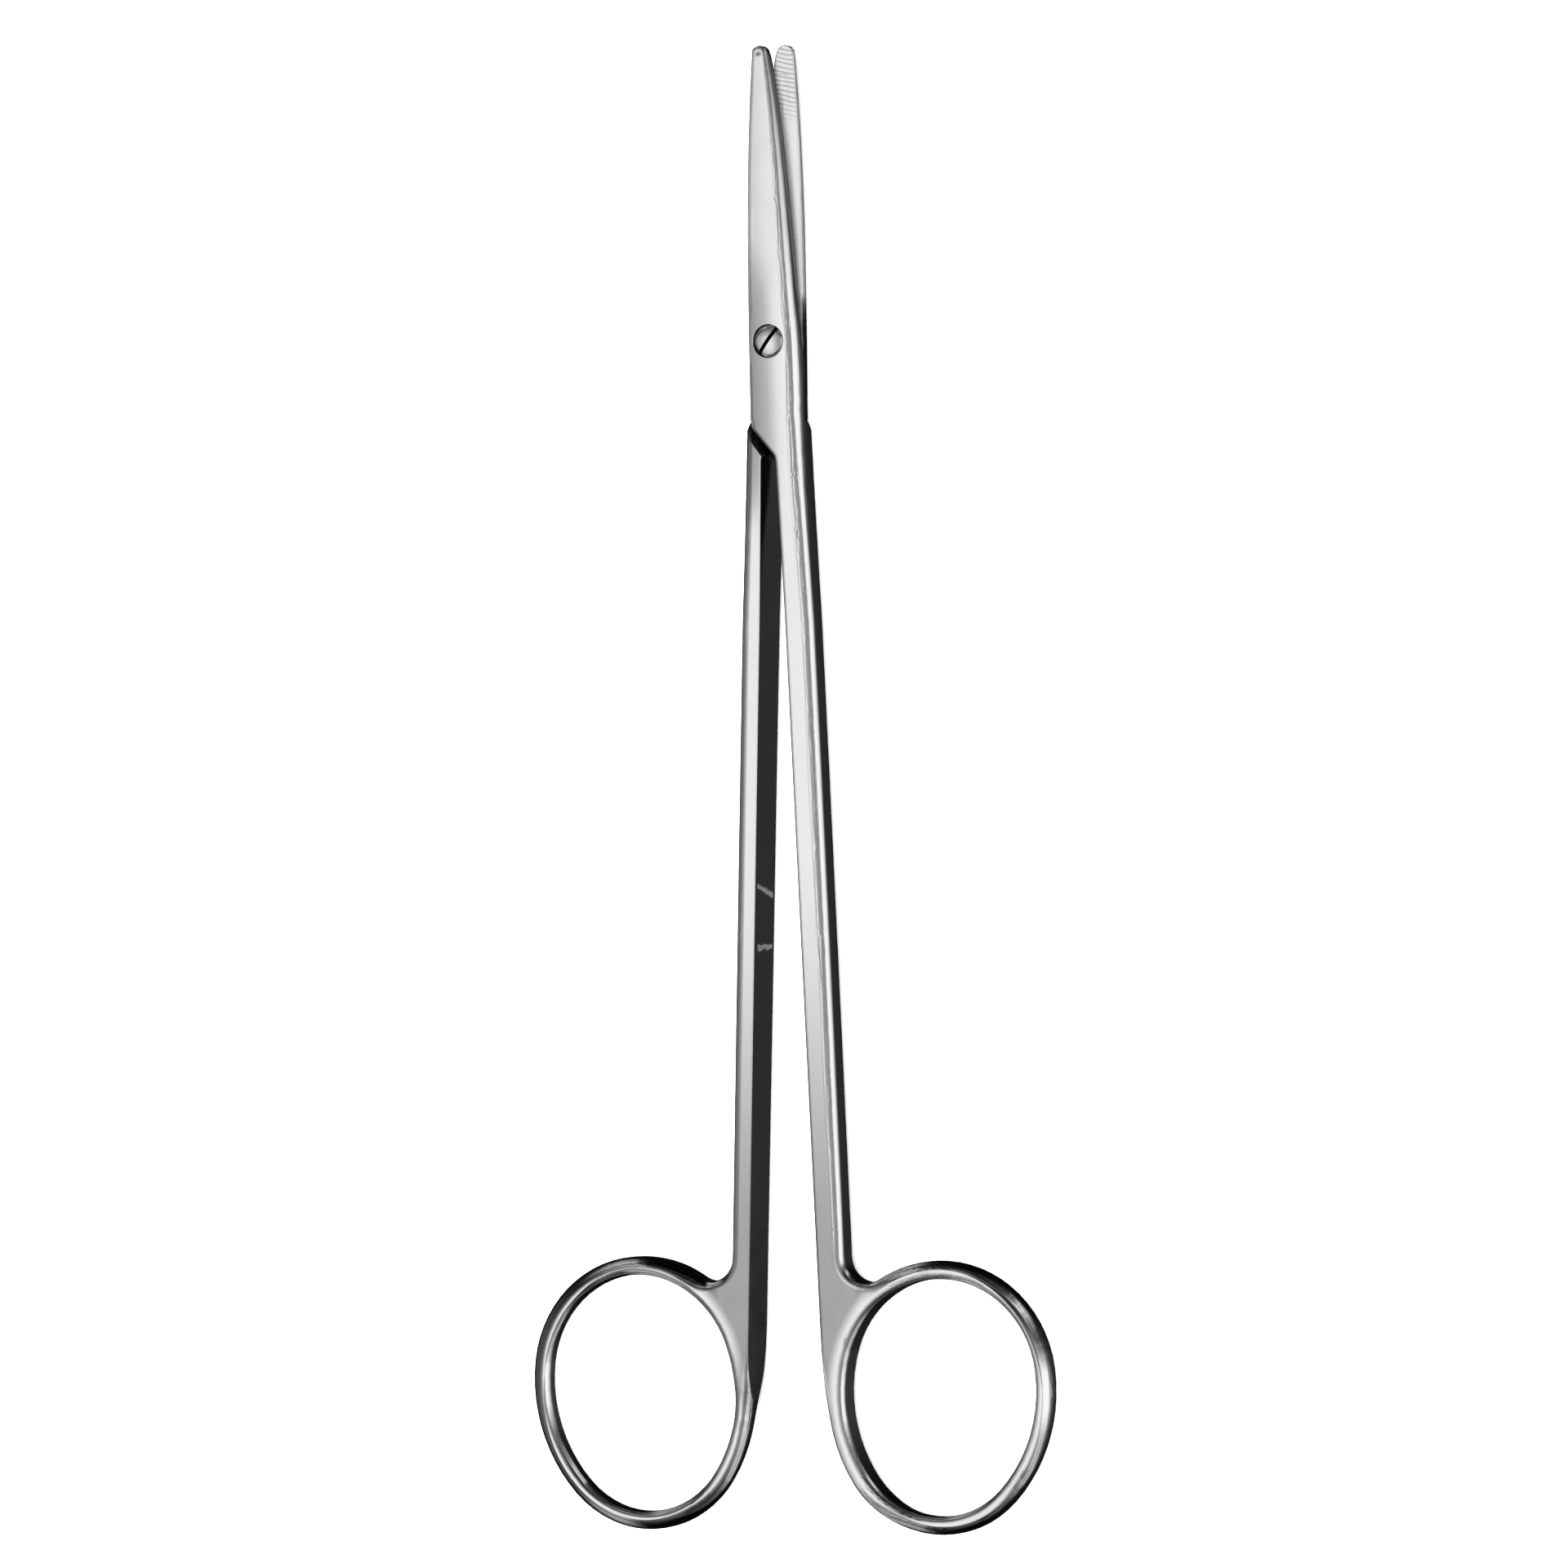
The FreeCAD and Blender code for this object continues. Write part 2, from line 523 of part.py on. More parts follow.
def make_joint_flat(body):
    """The flat ground on the joint's outer face."""
    sketch = new_sketch(body, "joint_flat", "XY_Plane", [("z", "sizes.joint_thick")])
    far = "sizes.neck_end"
    polygon(sketch, [(f"-{far}", f"-{far}"), (far, f"-{far}"), (far, far), (f"-{far}", far)])
    feature = cut(body, sketch, "sizes.joint_thick")
    feature.Reversed = True


def make_inner_side(body):
    """Clear the heel's diagonal, the round corner below it and the shank's inner wall, which leans."""
    above = "2 * sizes.joint_thick"
    sketch = new_sketch(body, "inner_side", "XY_Plane", [("z", above), ("x", f"-sizes.wall_lean * {above}")])
    run = "(sizes.diagonal_width + sizes.inner_neck)"
    rise = "(sizes.diagonal_end - sizes.diagonal_start)"
    past_ring = "2 * sizes.ring_reach"
    drift = "(sizes.inner_ring - sizes.inner_neck) / (sizes.ring_reach - sizes.diagonal_end)"
    wall_x = f"sizes.inner_neck + {drift} * ({past_ring} - sizes.diagonal_end)"
    left_x = f"-sizes.diagonal_width - 2 * {run}"
    top_y, low_y = f"-sizes.diagonal_start + {rise} / 2", f"-({past_ring})"
    top_x = f"-sizes.diagonal_width - {run} / 2"
    around = [(top_x, top_y), (wall_x, low_y), (left_x, low_y), (left_x, top_y)]
    places = [Vector(worth(sketch, x), worth(sketch, y)) for x, y in around]
    diagonal_place, wall_place, low_left, top_left = places
    corner_formulas = ("sizes.inner_neck", "-sizes.diagonal_end")
    corner = Vector(*[worth(sketch, formula) for formula in corner_formulas])
    down_diagonal, down_wall = (corner - diagonal_place).normalize(), (wall_place - corner).normalize()
    radius = worth(sketch, "sizes.diagonal_round")
    setback = radius * math.tan(down_diagonal.getAngle(down_wall) / 2)
    diagonal_angle, wall_angle = math.atan2(*down_diagonal[1::-1]), math.atan2(*down_wall[1::-1])
    round_start, round_end = corner - down_diagonal * setback, corner + down_wall * setback
    centre = round_start - Vector(-down_diagonal.y, down_diagonal.x) * radius
    add = sketch.addGeometry
    diagonal = add(Part.LineSegment(diagonal_place, round_start))
    rounding = add(arc(centre, radius, wall_angle + QUARTER, diagonal_angle + QUARTER))
    wall = add(Part.LineSegment(round_end, wall_place))
    low = add(Part.LineSegment(wall_place, low_left))
    left = add(Part.LineSegment(low_left, top_left))
    top = add(Part.LineSegment(top_left, diagonal_place))
    for before, after in ((wall, low), (low, left), (left, top), (top, diagonal)):
        sketch.addConstraint(Sketcher.Constraint("Coincident", before, 2, after, 1))
    join_round(sketch, [(diagonal, 2, rounding, 2), (rounding, 1, wall, 1)])
    bind(sketch, "Radius", (rounding,), "sizes.diagonal_round")
    for line, place in zip((diagonal, low, left, top), around):
        pin(sketch, line, 1, *place)
    corner_point = add(Part.Point(corner))
    pin(sketch, corner_point, 1, *corner_formulas)
    for line in (diagonal, wall):
        sketch.addConstraint(Sketcher.Constraint("PointOnObject", corner_point, 1, line))
    cut(body, sketch, f"2 * ({above})", direction=("sizes.wall_lean", "0", "-1"))


def make_mating_face(body):
    """Clear the space of the other half: all that lies under the mating face, up to the shoulder."""
    sketch = new_sketch(body, "mating_face", "XY_Plane")
    run = "(sizes.diagonal_width + sizes.inner_neck)"
    rise = "(sizes.diagonal_end - sizes.diagonal_start)"
    length = f"sqrt({run} ^ 2 + {rise} ^ 2)"
    foot_x = f"sizes.diagonal_width + sizes.shoulder_gap * {rise} / {length}"
    foot_y = f"-sizes.diagonal_start - sizes.shoulder_gap * {run} / {length}"
    right, low = f"{foot_x} + {run}", f"{foot_y} - 2 * {rise}"
    top = f"{BLADE_END} + 4 * sizes.joint_thick"
    polygon(sketch, [
        (right, f"{foot_y} + {rise}"), (right, top), (f"-({right})", top), (f"-({right})", low),
        (f"{foot_x} - 2 * {run}", low),
    ])
    cut(body, sketch, "2 * sizes.joint_thick", direction=("0", "-sizes.shoulder_lean", "-1"))


def make_nose(body):
    """Round the blade's end, in plan and over its top, by a cut turned about the tip's centre."""
    sketch = new_sketch(body, "nose", "YZ_Plane", [("z", "-sizes.nose_shift")])
    inner, past = "sizes.tip_reach - sizes.nose_round", "sizes.tip_reach + 2 * sizes.nose_radius"
    low, high = "-sizes.nose_thick", "2 * sizes.nose_thick"
    centre_z = "sizes.nose_thick - sizes.nose_round"
    radius = worth(sketch, "sizes.nose_round")
    centre = Vector(worth(sketch, inner), worth(sketch, centre_z))
    corners = [("sizes.tip_reach", low), (past, low), (past, high), (inner, high)]
    places = [Vector(worth(sketch, x), worth(sketch, y)) for x, y in corners]
    places = [centre + Vector(radius, 0)] + places + [centre + Vector(0, radius)]
    rounding = sketch.addGeometry(arc(centre, radius, 0, QUARTER))
    lines = [sketch.addGeometry(Part.LineSegment(a, b)) for a, b in zip(places, places[1:])]
    for before, after in zip(lines, lines[1:]):
        sketch.addConstraint(Sketcher.Constraint("Coincident", before, 2, after, 1))
    join_round(sketch, [(rounding, 1, lines[0], 1), (lines[-1], 2, rounding, 2)])
    for line in (lines[0], lines[2], lines[4]):
        sketch.addConstraint(Sketcher.Constraint("Vertical", line))
    for line in (lines[1], lines[3]):
        sketch.addConstraint(Sketcher.Constraint("Horizontal", line))
    bind(sketch, "Radius", (rounding,), "sizes.nose_round")
    pin(sketch, rounding, 3, inner, centre_z)
    pin(sketch, lines[1], 2, past, low)
    bind(sketch, "DistanceY", (-1, 1, lines[3], 1), high)
    axis_y = "sizes.tip_reach - sizes.nose_radius"
    place = worth(sketch, axis_y)
    axis_top = Vector(place, worth(sketch, "sizes.nose_thick"))
    axis = sketch.addGeometry(Part.LineSegment(Vector(place, 0), axis_top), True)
    sketch.addConstraint(Sketcher.Constraint("PointOnObject", axis, 1, -1))
    sketch.addConstraint(Sketcher.Constraint("Vertical", axis))
    pin(sketch, axis, 2, axis_y, "sizes.nose_thick")
    feature = body.newObject("PartDesign::Groove", f"{body.Label}_nose_cut")
    feature.Profile = sketch
    feature.ReferenceAxis = (sketch, ["Axis0"])
    feature.Midplane = True
    feature.Angle = 180


def segment_sketch(body, label, distance, middle_formula, width_formula):
    """A shallow round hollow, as wide as given, seen along the blade."""
    sketch = new_sketch(body, label, "XZ_Plane", [("z", f"-{distance}")])
    depth_formula = "sizes.hollow_depth"
    radius_formula = f"(({width_formula}) ^ 2 / 4 + {depth_formula} ^ 2) / (2 * {depth_formula})"
    middle, width = worth(sketch, middle_formula), worth(sketch, width_formula)
    depth, radius = worth(sketch, depth_formula), worth(sketch, radius_formula)
    centre = Vector(middle, depth - radius)
    turn = math.asin(width / 2 / radius)
    corners = [Vector(middle + sign * width / 2, level)
               for sign, level in ((1, 0), (1, -depth), (-1, -depth), (-1, 0))]
    crown = sketch.addGeometry(arc(centre, radius, QUARTER - turn, QUARTER + turn))
    lines = [sketch.addGeometry(Part.LineSegment(a, b)) for a, b in zip(corners, corners[1:])]
    for before, before_end, after, after_end in (
        (crown, 1, lines[0], 1), (lines[0], 2, lines[1], 1), (lines[1], 2, lines[2], 1),
        (lines[2], 2, crown, 2),
    ):
        sketch.addConstraint(Sketcher.Constraint("Coincident", before, before_end, after, after_end))
    bind(sketch, "Radius", (crown,), radius_formula)
    for line, end, sign, level in ((0, 1, "+", "0"), (0, 2, "+", "-1"), (1, 2, "-", "-1"), (2, 2, "-", "0")):
        x_formula = f"{middle_formula} {sign} ({width_formula}) / 2"
        bind(sketch, "DistanceX", (-1, 1, lines[line], end), x_formula)
        bind(sketch, "DistanceY", (-1, 1, lines[line], end), f"{level} * {depth_formula}")
    return sketch


def make_hollow(body):
    """The shallow hollow ground along the blade's inner face, which leaves its edges standing."""
    root = segment_sketch(body, "hollow_root", "sizes.hollow_start", "-sizes.hollow_root_shift",
                          "sizes.hollow_root_width")
    tip_end = "(sizes.tip_reach - sizes.hollow_stop)"
    tip = segment_sketch(body, "hollow_tip", tip_end, "-sizes.hollow_tip_shift", "sizes.hollow_tip_width")
    feature = body.newObject("PartDesign::SubtractiveLoft", f"{body.Label}_hollow")
    feature.Profile = root
    feature.Sections = [tip]


def make_pin_hole(body):
    """The front half's running hole for the pin, and the recess for the screw head."""
    through = new_sketch(body, "pin_hole", "XY_Plane")
    circle(through, "sizes.pin_diameter + 2 * sizes.pin_gap")
    cut(body, through, "4 * sizes.joint_thick", both_ways=True)
    recess = new_sketch(body, "head_recess", "XY_Plane", [("z", "sizes.joint_thick")])
    circle(recess, "sizes.head_diameter + 2 * sizes.head_gap")
    cut(body, recess, "sizes.head_sink + sizes.head_thick + sizes.face_play")


def make_thread_hole(body):
    """The back half's tapped hole, with its thread left plain."""
    sketch = new_sketch(body, "thread_hole", "XY_Plane")
    circle(sketch, "sizes.thread_diameter + 2 * sizes.thread_gap")
    cut(body, sketch, "4 * sizes.joint_thick", both_ways=True)


def make_half(doc, label, make_hole):
    body = doc.addObject("PartDesign::Body", label)
    make_ring(body)
    make_forging(body)
    make_joint_flat(body)
    make_inner_side(body)
    make_mating_face(body)
    make_nose(body)
    make_hollow(body)
    make_hole(body)
    return body


def make_screw(doc):
    """The pivot screw: threaded end, pin, and a domed head with a slot. It stands where it is fitted."""
    body = doc.addObject("PartDesign::Body", "pivot_screw")
    sketch = new_sketch(body, "turned", "XZ_Plane")
    rim = "(2 * sizes.joint_thick + sizes.face_play - sizes.head_sink)"
    under = f"({rim} - sizes.head_thick)"
    head, stem, thread = "sizes.head_diameter / 2", "sizes.pin_diameter / 2", "sizes.thread_diameter / 2"
    corners = [
        ("0 * sizes.end_sink", "sizes.end_sink"), (thread, "sizes.end_sink"), (thread, "sizes.joint_thick"),
        (stem, "sizes.joint_thick"), (stem, under), (head, under), (head, rim),
        ("0 * sizes.end_sink", f"{rim} + sizes.head_dome"),
    ]
    places = [Vector(worth(sketch, x), worth(sketch, y)) for x, y in corners]
    lines = [sketch.addGeometry(Part.LineSegment(a, b)) for a, b in zip(places[:-1], places[1:-1])]
    rim_place, crown = places[-2], places[-1]
    dome = worth(sketch, "sizes.head_dome")
    dome_radius_formula = "((sizes.head_diameter / 2) ^ 2 + sizes.head_dome ^ 2) / (2 * sizes.head_dome)"
    dome_radius = worth(sketch, dome_radius_formula)
    turn = math.asin(rim_place.x / dome_radius)
    top = sketch.addGeometry(arc(crown - Vector(0, dome_radius), dome_radius, QUARTER - turn, QUARTER))
    closing = sketch.addGeometry(Part.LineSegment(crown, places[0]))
    for before, after in zip(lines, lines[1:]):
        sketch.addConstraint(Sketcher.Constraint("Coincident", before, 2, after, 1))
    for before, before_end, after, after_end in (
        (lines[-1], 2, top, 1), (top, 2, closing, 1), (closing, 2, lines[0], 1)
    ):
        sketch.addConstraint(Sketcher.Constraint("Coincident", before, before_end, after, after_end))
    for line, (x, y) in zip(lines, corners):
        pin(sketch, line, 1, x, y)
    pin(sketch, lines[-1], 2, *corners[-2])
    pin(sketch, closing, 1, *corners[-1])
    bind(sketch, "Radius", (top,), dome_radius_formula)
    turned = body.newObject("PartDesign::Revolution", "pivot_screw_turned_body")
    turned.Profile = sketch
    turned.ReferenceAxis = (sketch, ["V_Axis"])
    turned.Angle = 360
    crown_z = f"{rim} + sizes.head_dome"
    slot = new_sketch(body, "slot", "XY_Plane", [("z", crown_z)])
    slot.setExpression("AttachmentOffset.Rotation.Angle", "sizes.slot_turn * 1 deg")
    long, wide = "sizes.head_diameter", "sizes.slot_width / 2"
    polygon(slot, [(f"-{long}", f"-{wide}"), (long, f"-{wide}"), (long, wide), (f"-{long}", wide)])
    cut(body, slot, "sizes.slot_depth")
    return body


def check(doc, bodies):
    """Stop if an object failed, or if a piece isn't one sound solid."""
    for feature in doc.Objects:
        if "Invalid" in feature.State or "Error" in feature.State:
            raise RuntimeError(f"{feature.Label}: {feature.State}")
    for body in bodies:
        shape = body.Shape
        if shape.isNull() or not shape.isValid() or len(shape.Solids) != 1:
            raise RuntimeError(f"{body.Label} is not one sound solid")
        print(f"{body.Label}: {shape.Volume:.2f} mm3, {len(shape.Faces)} faces")


def main():
    doc = FreeCAD.newDocument("scissors")
    make_sheet(doc)
    front = make_half(doc, "front_half", make_pin_hole)
    back = make_half(doc, "back_half", make_thread_hole)
    screw = make_screw(doc)
    doc.recompute()
    sheet = doc.sizes
    thick, play = worth(sheet, "sizes.joint_thick"), worth(sheet, "sizes.face_play")
    turn = worth(sheet, "sizes.rest_opening / 2")
    up = Vector(0, 0, 1)
    front.Placement = Placement(Vector(0, 0, thick + play), Rotation(up, turn))
    back.Placement = Placement(Vector(0, 0, thick), Rotation(up, -turn) * Rotation(Vector(0, 1, 0), 180))
    doc.recompute()
    bodies = [front, back, screw]
    check(doc, bodies)
    os.makedirs("parts", exist_ok=True)
    for body in bodies:
        body.Shape.exportStep(f"parts/{body.Label}.step")


main()
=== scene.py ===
"""Looks of the dissecting scissors: polished steel on a pale floor, seen as in the photograph.

Metres, in the model's own frame: +Y towards the tips, +Z up, the pivot axis on the origin.
"""

import math
from typing import NamedTuple

import bpy
from mathutils import Matrix, Vector


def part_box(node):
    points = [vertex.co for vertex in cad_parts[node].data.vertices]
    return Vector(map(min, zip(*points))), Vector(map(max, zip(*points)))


MM = 0.001

# The photograph's view: from straight above, moved towards +X, and turned a little in its own plane
VIEW_YAW = math.radians(25.0)
VIEW_ROLL = math.radians(0.9)
VIEW_DISTANCE = 1.05
VIEW_TARGET = Vector((-0.12, -53.35, 2.90)) * MM
LENS = 199.76
SENSOR_WIDTH = 36.0
CLIP_NEAR = 0.05
CLIP_FAR = 20.0

FLOOR_SIZE = 3.0
FLOOR_GAP = 0.02 * MM
FLOOR_COLOUR = (0.93, 0.93, 0.93, 1.0)
FLOOR_LIGHT_PLACE = (0, -0.05, 1.4)
FLOOR_LIGHT_SIZE = 2.2
FLOOR_LIGHT_POWER = 110.0

# Places on the halves
MATING_PLANE = 2.9 * MM
REST_TURN = math.radians(1.65)  # each half is turned by this, from the long axis, as the scissors lie
RING_MIDDLE = (19.85 * MM, -127.1 * MM)
RING_HALF_HOLE = (12.4 * MM, 14.3 * MM)
RING_MEAN_RADIUS = 13.3 * MM

# Masks, each from where it begins to where it is full or gone. Facing is the normal's share along z,
# and a place on a ring is counted from the middle of the finger hole, whose edge is at about 1.
LEVEL_FACING = (0.93, 0.99)
WALL_FACING = (0.25, 0.45)
GROUND_DEPTH = (0.12 * MM, 0.20 * MM)
RING_BAR = (1.18, 1.30)
BLADE_START = (0.0, 6.0 * MM)

# Slight forms that only the light shows. A bend is multiplied by the square of a distance in metres.
CROWN_MIDDLE = 1.5 * MM  # long axis to the highest line of the crowned joint face
CROWN_BEND = -36.0
CROWN_RISE = (-26.0 * MM, -12.0 * MM)
CROWN_EBB = (3.0 * MM, 14.0 * MM)
CROWN_ON_BLADE = 0.35
WAVE_SCALE = 170.0
WAVE_EBB = (-112.0 * MM, -96.0 * MM)
WAVE_HEIGHTS = (0.22 * MM, 0.03 * MM)
FACET_START = 1.075
FACET_BEND = -150.0
FACET_SLOPE = -0.36
FACET_SIDE = (-0.90, -0.30)
FRONT_BLADE_REACH = (4.0 * MM, 36.0 * MM)
FRONT_FALL_START = (3.6 * MM, 3.1 * MM)
FRONT_FALL_BEND = -210.0
BACK_BLADE_LEAN = -0.5

# Fine lines along the steel, and slanting lines that a grinding wheel left near the tip
LINE_STRETCH = (4200.0, 160.0, 4200.0)
LINE_DEPTH = 0.01 * MM
LINE_STRENGTH = 0.08
GRINDING_SLANT = 0.24
GRINDING_SCALE = 560.0
GRINDING_DARK = (0.45, 0.90)
GRINDING_SHADE = 0.58
GRINDING_REACH = (23.0 * MM, 30.0 * MM)
GRINDING_FAINT = 0.10

# How dark the other places are, from 0 to 1: the ground face by its finish, the rest by painted shade
GROUND_SHADE = 0.26
# Painted shadow on the ground face in the gap behind the joint, where the other half shades it
GAP_PAINTED_SHADOW = 0.95
GAP_SHADOW_END = (-9.5 * MM, -8.0 * MM)
# Painted shade on the flat top, darkening towards the web and the ring
WEB_PAINTED_SHADE = 0.56
WEB_REACH = (-112.0 * MM, -60.0 * MM)
WEB_FROM_HOLE = (1.08, 1.20)
# Painted shade on the walls, away from the finger hole and below the front half's top
WALL_FROM_HOLE = (1.04, 1.10)
BLADE_WALL_HEIGHT = (0.5 * MM, 1.2 * MM)
POLISHED = (0.84, 0.84, 0.825)
SHADED = (0.03, 0.03, 0.03)

# Roughness of the polished steel, and what clouds, grinding and scratches add to it
CLOUD_SCALE = 260.0
POLISHED_ROUGHNESS = 0.09
CLOUD_ROUGHNESS = 0.08
GROUND_ROUGHNESS = 0.14
SCRATCH_ROUGHNESS = 0.55
# Metallic is 1, less on the blade's ground face and on scratches
GROUND_BLADE = (0.0, 4.0 * MM)
GROUND_LESS_METALLIC = 0.15
SCRATCH_LESS_METALLIC = 0.05

# Rounded edges: those of the ring, and what is left of the radius close to the pivot
RING_EDGE = 0.50 * MM
PIVOT_REACH = (6.0 * MM, 7.2 * MM)
PIVOT_EDGE_SHARE = 0.12

SCRATCH_WIDTH = (0.10 * MM, 0.45 * MM)
SCRATCH_END = 0.4 * MM
SCRATCH_WOBBLE = 0.9 * MM
SCRATCH_WOBBLE_SCALE = 900.0

# The screw, whose dome has its middle a little beside the axis
DOME_MIDDLE = (0.16 * MM, -0.06 * MM)
DOME_START = 1.5 * MM
DOME_BEND = -1000.0
# Painted shade on the head's rim, a crescent that is widest towards -X
SHADED_RIM = (1.70 * MM, 1.98 * MM)
RIM_PAINTED_SHADE = 0.95
# The slot gets painted shade, and more roughness
SLOT_TOP = (5.60 * MM, 5.70 * MM)
SLOT_BOTTOM = (3.0 * MM, 3.2 * MM)
SLOT_ROUGHNESS = 0.45
SCREW_ROUGHNESS = 0.16
SCREW_POLISHED = (0.82, 0.82, 0.81)
SCREW_SHADED = (0.02, 0.02, 0.02)
SCREW_EDGE = 0.05 * MM
TURNING_SCALE = 2600.0
TURNING_STRENGTH = 0.10

# What the steel mirrors, by the angle from straight up towards +X, in degrees: grey of the studio there
STUDIO_TONES = [
    (-180, 0.01), (-125, 0.02), (-108, 0.12), (-66, 0.16), (-54, 0.34), (-40, 0.50), (-30, 0.82),
    (-20, 0.94), (-13, 0.84), (-3, 0.36), (8, 0.27), (30, 0.26), (40, 1.0), (106, 1.0), (113, 0.36),
    (132, 0.16), (150, 0.04), (165, 0.02),
]
# How much of that is left towards the rings, at -1, and towards the tips, at 1
STUDIO_ENDS = [
    (-1.0, 0.08), (-0.70, 0.14), (-0.42, 0.60), (-0.18, 1.0), (0.14, 1.0), (0.30, 0.45), (0.48, 0.06),
    (0.66, 0.06), (0.74, 0.55), (0.82, 0.06), (1.0, 0.03),
]
STUDIO_STRENGTH = 1.12
# Grey corners of the studio, by the share of a direction that points along each axis
CORNER_GREY = 0.40
CORNER_ENDWAYS = (0.45, 0.70)
CORNER_SIDEWAYS = (0.40, 0.62)
LOW_FROM = (0.10, 0.28)
LOW_TO = (0.45, 0.62)
UNDER_FROM = (-0.05, 0.05)
UNDER_TO = (0.80, 0.92)


class Scratch(NamedTuple):
    """A light scratch across the inner wall: its place along y, its slant, and its two ends along z."""
    along: float
    slant: float
    low: float
    high: float


class Half(NamedTuple):
    """What differs between the steel of the two halves."""
    material: str
    side: int  # 1 where the ring lies towards +X, -1 where it lies towards -X
    edge: float  # radius of the rounded edges outside the ring
    shank_wall_painted_shade: float  # how dark the painted shade on the walls is, along the shank and along the blade
    blade_wall_painted_shade: float
    scratches: tuple


HALVES = {
    "front_half": Half("forged_steel_front", side=1, edge=0.55 * MM, shank_wall_painted_shade=0.35, blade_wall_painted_shade=0.85,
                       scratches=()),
    "back_half": Half("forged_steel_back", side=-1, edge=0.26 * MM, shank_wall_painted_shade=0.74, blade_wall_painted_shade=0.0,
                      scratches=(Scratch(-66.7 * MM, -0.35, 0.8 * MM, 4.9 * MM),
                                 Scratch(-72.6 * MM, 0.0, 0.8 * MM, 4.6 * MM))),
}


class Shader:
    """A node tree that is built by calls: each makes one node or a few, and most return an output."""

    def __init__(self, tree):
        self.tree = tree
        tree.nodes.clear()

    def node(self, kind, settings=None, **inputs):
        """One node. An input goes by its name, with _ for a space, or as _0 or _1 by its place."""
        made = self.tree.nodes.new(kind)
        for name, value in (settings or {}).items():
            setattr(made, name, value)
        for name, value in inputs.items():
            self.put(made, name, value)
        return made

    def put(self, made, name, value):
        key = int(name[1:]) if name[0] == "_" else name.replace("_", " ")
        socket = made.inputs[key]
        if isinstance(value, bpy.types.NodeSocket):
            self.tree.links.new(value, socket)
        else:
            socket.default_value = value

    def math(self, operation, *values, clamp=False):
        made = self.node("ShaderNodeMath", {"operation": operation, "use_clamp": clamp})
        for index, value in enumerate(values):
            self.put(made, f"_{index}", value)
        return made.outputs[0]

    def product(self, first, *others):
        for other in others:
            first = self.math("MULTIPLY", first, other)
        return first

    def greatest(self, first, *others):
        for other in others:
            first = self.math("MAXIMUM", first, other)
        return first

    def past(self, value, start):
        """How far value lies past start, and 0 before it."""
        return self.math("MAXIMUM", self.math("SUBTRACT", value, start), 0.0)

    def between(self, value, low, high, to_low=0.0, to_high=1.0):
        """Smoothly from to_low to to_high as value goes from low to high."""
        made = self.node("ShaderNodeMapRange", {"interpolation_type": "SMOOTHSTEP"}, Value=value)
        for index, number in enumerate((low, high, to_low, to_high), start=1):
            made.inputs[index].default_value = number
        return made.outputs[0]

    def ramp(self, value, stops):
        """Grey or colour stops along 0 to 1."""
        made = self.node("ShaderNodeValToRGB", Fac=value)
        elements = made.color_ramp.elements
        while len(elements) < len(stops):
            elements.new(0.5)
        for element, (place, tone) in zip(elements, stops):
            element.position = place
            element.color = (*tone, 1.0) if isinstance(tone, tuple) else (tone, tone, tone, 1.0)
        return made.outputs[0]

    def split(self, vector):
        return self.node("ShaderNodeSeparateXYZ", Vector=vector).outputs

    def vector(self, operation, first, second):
        return self.node("ShaderNodeVectorMath", {"operation": operation}, _0=first, _1=second).outputs[0]

    def length(self, vector):
        return self.node("ShaderNodeVectorMath", {"operation": "LENGTH"}, _0=vector).outputs["Value"]

    def noise(self, place, scale, detail=2.0, stretch=(1.0, 1.0, 1.0)):
        moved = self.node("ShaderNodeMapping", Vector=place, Scale=stretch).outputs[0]
        return self.node("ShaderNodeTexNoise", Vector=moved, Scale=scale, Detail=detail).outputs["Fac"]

    def rounded(self, radius, samples):
        return self.node("ShaderNodeBevel", {"samples": samples}, Radius=radius).outputs[0]

    def bump(self, height, normal, strength=1.0, distance=1.0):
        made = self.node("ShaderNodeBump", Strength=strength, Distance=distance, Height=height, Normal=normal)
        return made.outputs[0]

    def steel(self, colour, metallic, roughness, normal):
        surface = self.node("ShaderNodeBsdfPrincipled", Base_Color=colour, Metallic=metallic,
                            Roughness=roughness, Normal=normal)
        self.node("ShaderNodeOutputMaterial", Surface=surface.outputs[0])


def new_material(name):
    material = bpy.data.materials.new(name)
    material.use_nodes = True
    return material, Shader(material.node_tree)


